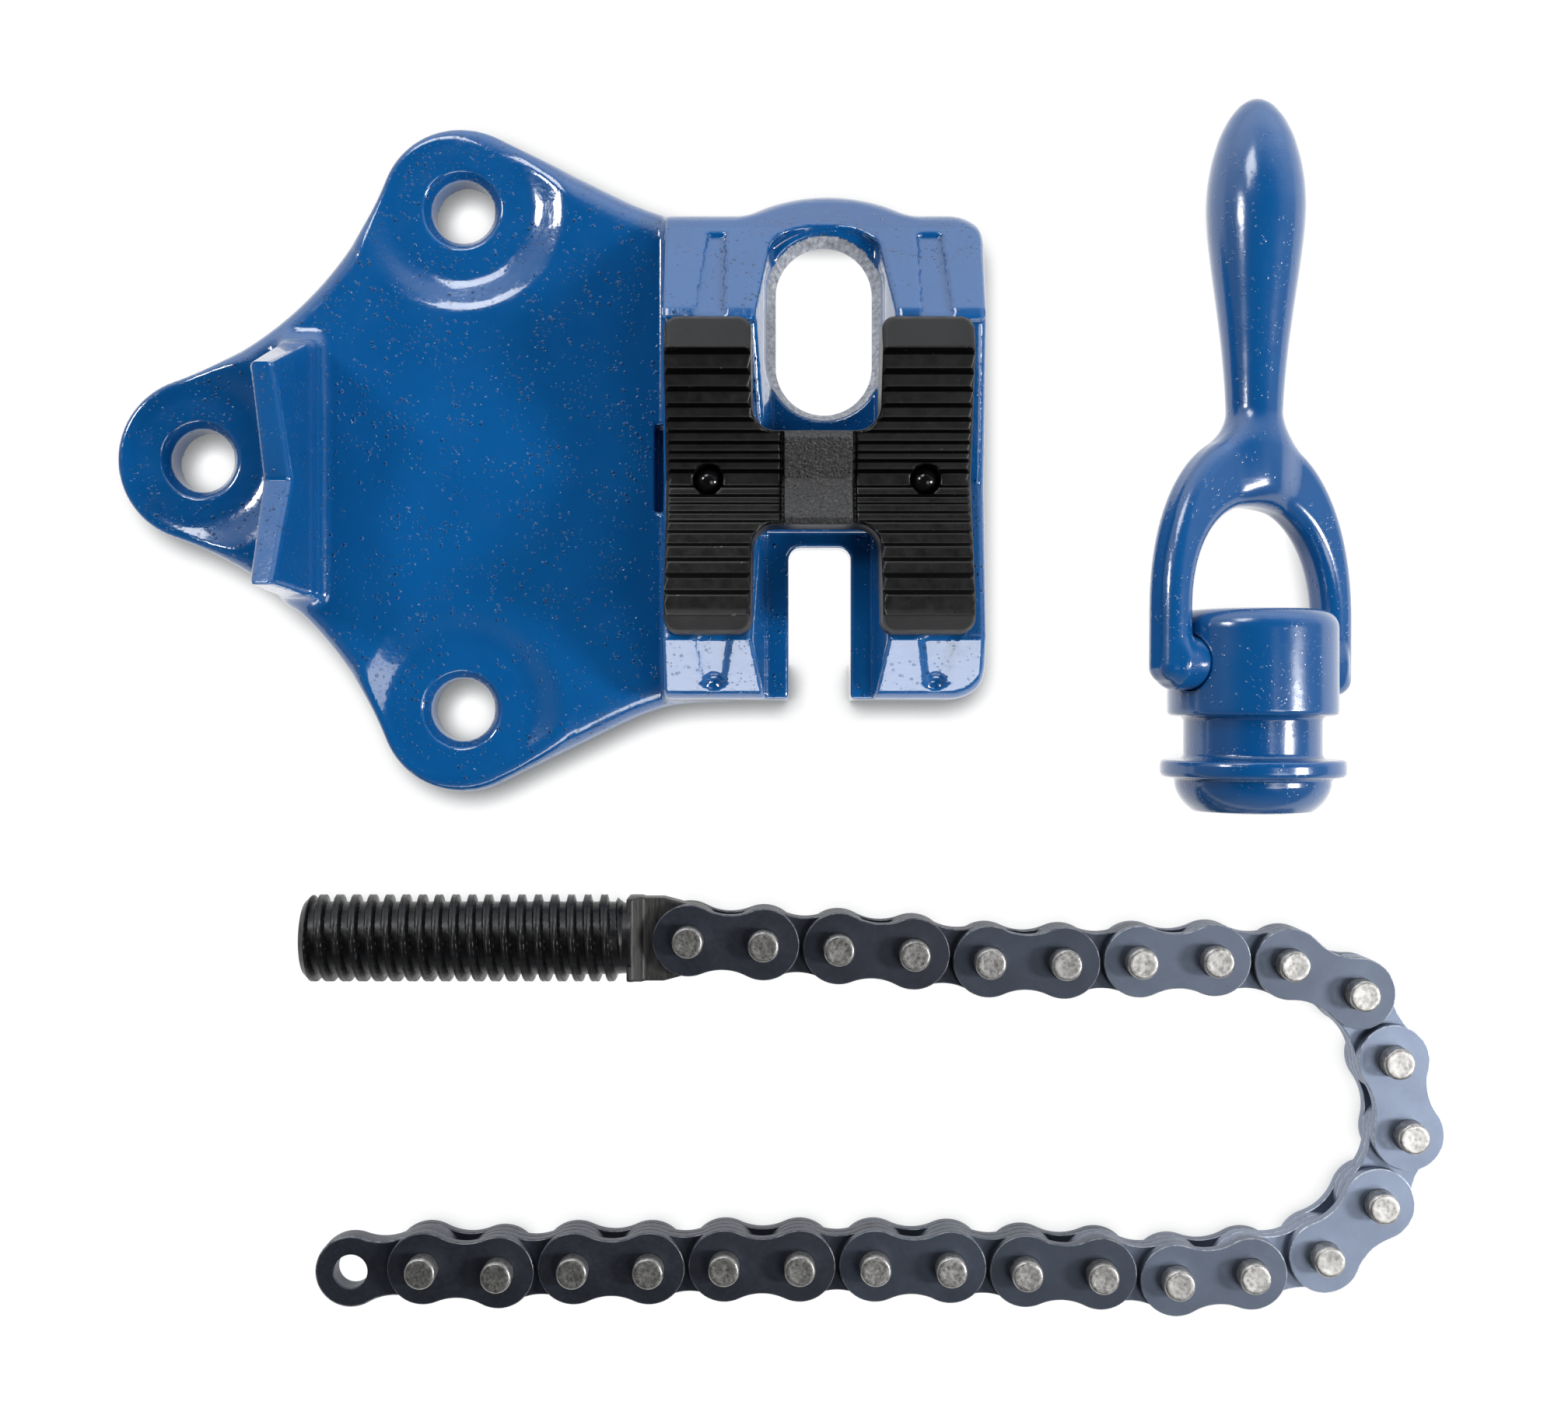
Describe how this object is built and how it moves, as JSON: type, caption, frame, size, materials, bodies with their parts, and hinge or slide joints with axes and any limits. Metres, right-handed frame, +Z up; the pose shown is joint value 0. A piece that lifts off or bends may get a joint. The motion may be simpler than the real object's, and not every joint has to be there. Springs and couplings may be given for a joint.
{
  "type": "chain pipe vise",
  "caption": "Bench chain pipe vise laid out in pieces: cast base with V jaw, screw with leaf chain, and swivel nut with forked handle.",
  "frame": {"origin": "centre of the left mounting bolt hole, at the level of the base's underside", "axes": "+X along the pipe towards the jaw, +Y across the pipe towards the screw hole, +Z up"},
  "size_m": [0.3378, 0.3087, 0.0515],
  "materials": {
    "blue_enamel": "glossy",
    "black_jaw": "satin",
    "black_oxide": "glossy",
    "blued_plate": "satin",
    "bright_pin": "satin"
  },
  "bodies": {
    "vise_body": {"base_casting": "blue_enamel", "jaw": "black_jaw", "jaw_screws": "black_oxide"},
    "nut": {"swivel_nut": "blue_enamel"},
    "handle": {"handle": "blue_enamel"},
    "screw": {"screw": "black_oxide"},
    "outer_01": {"outer_link_01": "blued_plate", "link_pins_01": "bright_pin"},
    "inner_01": {"inner_link_01": "blued_plate"},
    "outer_02": {"outer_link_02": "blued_plate", "link_pins_02": "bright_pin"},
    "inner_02": {"inner_link_02": "blued_plate"},
    "outer_03": {"outer_link_03": "blued_plate", "link_pins_03": "bright_pin"},
    "inner_03": {"inner_link_03": "blued_plate"},
    "outer_04": {"outer_link_04": "blued_plate", "link_pins_04": "bright_pin"},
    "inner_04": {"inner_link_04": "blued_plate"},
    "outer_05": {"outer_link_05": "blued_plate", "link_pins_05": "bright_pin"},
    "inner_05": {"inner_link_05": "blued_plate"},
    "outer_06": {"outer_link_06": "blued_plate", "link_pins_06": "bright_pin"},
    "inner_06": {"inner_link_06": "blued_plate"},
    "outer_07": {"outer_link_07": "blued_plate", "link_pins_07": "bright_pin"},
    "inner_07": {"inner_link_07": "blued_plate"},
    "outer_08": {"outer_link_08": "blued_plate", "link_pins_08": "bright_pin"},
    "inner_08": {"inner_link_08": "blued_plate"},
    "outer_09": {"outer_link_09": "blued_plate", "link_pins_09": "bright_pin"},
    "inner_09": {"inner_link_09": "blued_plate"},
    "outer_10": {"outer_link_10": "blued_plate", "link_pins_10": "bright_pin"},
    "inner_10": {"inner_link_10": "blued_plate"},
    "outer_11": {"outer_link_11": "blued_plate", "link_pins_11": "bright_pin"},
    "inner_11": {"inner_link_11": "blued_plate"},
    "outer_12": {"outer_link_12": "blued_plate", "link_pins_12": "bright_pin"},
    "inner_12": {"inner_link_12": "blued_plate"},
    "outer_13": {"outer_link_13": "blued_plate", "link_pins_13": "bright_pin"},
    "end": {"end_link": "blued_plate"}
  },
  "joints": [
    {"name": "nut_lift", "type": "slide", "parent": "vise_body", "child": "nut", "axis": [0, 0, 1], "range_m": [0, 0.12]},
    {"name": "handle_swing", "type": "hinge", "parent": "nut", "child": "handle", "pos_m": [0.2667, -0.0525, 0.0228], "axis": [0.866, 0, -0.5], "range_deg": [0, 130]},
    {"name": "screw_lift", "type": "slide", "parent": "vise_body", "child": "screw", "axis": [0, 0, 1], "range_m": [0, 0.06]},
    {"name": "pin_01_swing", "type": "hinge", "parent": "screw", "child": "outer_01", "pos_m": [0.1253, -0.1224, 0.0117], "axis": [0, 0, 1], "range_deg": [-40, 9]},
    {"name": "pin_02_swing", "type": "hinge", "parent": "outer_01", "child": "inner_01", "pos_m": [0.14432, -0.1234, 0.0117], "axis": [0, 0, 1], "range_deg": [-32, 11]},
    {"name": "pin_03_swing", "type": "hinge", "parent": "inner_01", "child": "outer_02", "pos_m": [0.16335, -0.12439, 0.0117], "axis": [0, 0, -1], "range_deg": [-13, 27]},
    {"name": "pin_04_swing", "type": "hinge", "parent": "outer_02", "child": "inner_02", "pos_m": [0.18235, -0.12572, 0.0117], "axis": [0, 0, 1], "range_deg": [-23, 16]},
    {"name": "pin_05_swing", "type": "hinge", "parent": "inner_02", "child": "outer_03", "pos_m": [0.2013, -0.12771, 0.0117], "axis": [0, 0, 1], "range_deg": [-20, 21]},
    {"name": "pin_06_swing", "type": "hinge", "parent": "outer_03", "child": "inner_03", "pos_m": [0.22034, -0.12805, 0.0117], "axis": [0, 0, 1], "range_deg": [-18, 27]},
    {"name": "pin_07_swing", "type": "hinge", "parent": "inner_03", "child": "outer_04", "pos_m": [0.23939, -0.12771, 0.0117], "axis": [0, 0, 1], "range_deg": [-16, 37]},
    {"name": "pin_08_swing", "type": "hinge", "parent": "outer_04", "child": "inner_04", "pos_m": [0.25844, -0.12738, 0.0117], "axis": [0, 0, 1], "range_deg": [-15, 59]},
    {"name": "pin_09_swing", "type": "hinge", "parent": "inner_04", "child": "outer_05", "pos_m": [0.27746, -0.12838, 0.0117], "axis": [0, 0, 1], "range_deg": [-13, 60]},
    {"name": "pin_10_swing", "type": "hinge", "parent": "outer_05", "child": "inner_05", "pos_m": [0.295, -0.13582, 0.0117], "axis": [0, 0, -1], "range_deg": [-60, 12]},
    {"name": "pin_11_swing", "type": "hinge", "parent": "inner_05", "child": "outer_06", "pos_m": [0.30365, -0.1528, 0.0117], "axis": [0, 0, -1], "range_deg": [-60, 12]},
    {"name": "pin_12_swing", "type": "hinge", "parent": "outer_06", "child": "inner_06", "pos_m": [0.30728, -0.1715, 0.0117], "axis": [0, 0, 1], "range_deg": [-12, 60]},
    {"name": "pin_13_swing", "type": "hinge", "parent": "inner_06", "child": "outer_07", "pos_m": [0.29984, -0.18903, 0.0117], "axis": [0, 0, -1], "range_deg": [-60, 13]},
    {"name": "pin_14_swing", "type": "hinge", "parent": "outer_07", "child": "inner_07", "pos_m": [0.28613, -0.20227, 0.0117], "axis": [0, 0, -1], "range_deg": [-60, 13]},
    {"name": "pin_15_swing", "type": "hinge", "parent": "inner_07", "child": "outer_08", "pos_m": [0.26757, -0.20655, 0.0117], "axis": [0, 0, 1], "range_deg": [-15, 60]},
    {"name": "pin_16_swing", "type": "hinge", "parent": "outer_08", "child": "inner_08", "pos_m": [0.2486, -0.20821, 0.0117], "axis": [0, 0, -1], "range_deg": [-60, 16]},
    {"name": "pin_17_swing", "type": "hinge", "parent": "inner_08", "child": "outer_09", "pos_m": [0.22962, -0.20655, 0.0117], "axis": [0, 0, 1], "range_deg": [-18, 56]},
    {"name": "pin_18_swing", "type": "hinge", "parent": "outer_09", "child": "inner_09", "pos_m": [0.21058, -0.20589, 0.0117], "axis": [0, 0, -1], "range_deg": [-60, 20]},
    {"name": "pin_19_swing", "type": "hinge", "parent": "inner_09", "child": "outer_10", "pos_m": [0.19156, -0.20489, 0.0117], "axis": [0, 0, -1], "range_deg": [-57, 23]},
    {"name": "pin_20_swing", "type": "hinge", "parent": "outer_10", "child": "inner_10", "pos_m": [0.17251, -0.20456, 0.0117], "axis": [0, 0, 1], "range_deg": [-27, 58]},
    {"name": "pin_21_swing", "type": "hinge", "parent": "inner_10", "child": "outer_11", "pos_m": [0.15346, -0.20456, 0.0117], "axis": [0, 0, 1], "range_deg": [-32, 59]},
    {"name": "pin_22_swing", "type": "hinge", "parent": "outer_11", "child": "inner_11", "pos_m": [0.13441, -0.20456, 0.0117], "axis": [0, 0, -1], "range_deg": [-57, 40]},
    {"name": "pin_23_swing", "type": "hinge", "parent": "inner_11", "child": "outer_12", "pos_m": [0.11537, -0.20522, 0.0117], "axis": [0, 0, 1], "range_deg": [-54, 60]},
    {"name": "pin_24_swing", "type": "hinge", "parent": "outer_12", "child": "inner_12", "pos_m": [0.09632, -0.20522, 0.0117], "axis": [0, 0, 1], "range_deg": [-60, 56]},
    {"name": "pin_25_swing", "type": "hinge", "parent": "inner_12", "child": "outer_13", "pos_m": [0.0773, -0.20622, 0.0117], "axis": [0, 0, 1], "range_deg": [-54, 60]},
    {"name": "pin_26_swing", "type": "hinge", "parent": "outer_13", "child": "end", "pos_m": [0.05827, -0.20522, 0.0117], "axis": [0, 0, -1], "range_deg": [-51, 60]}
  ]
}
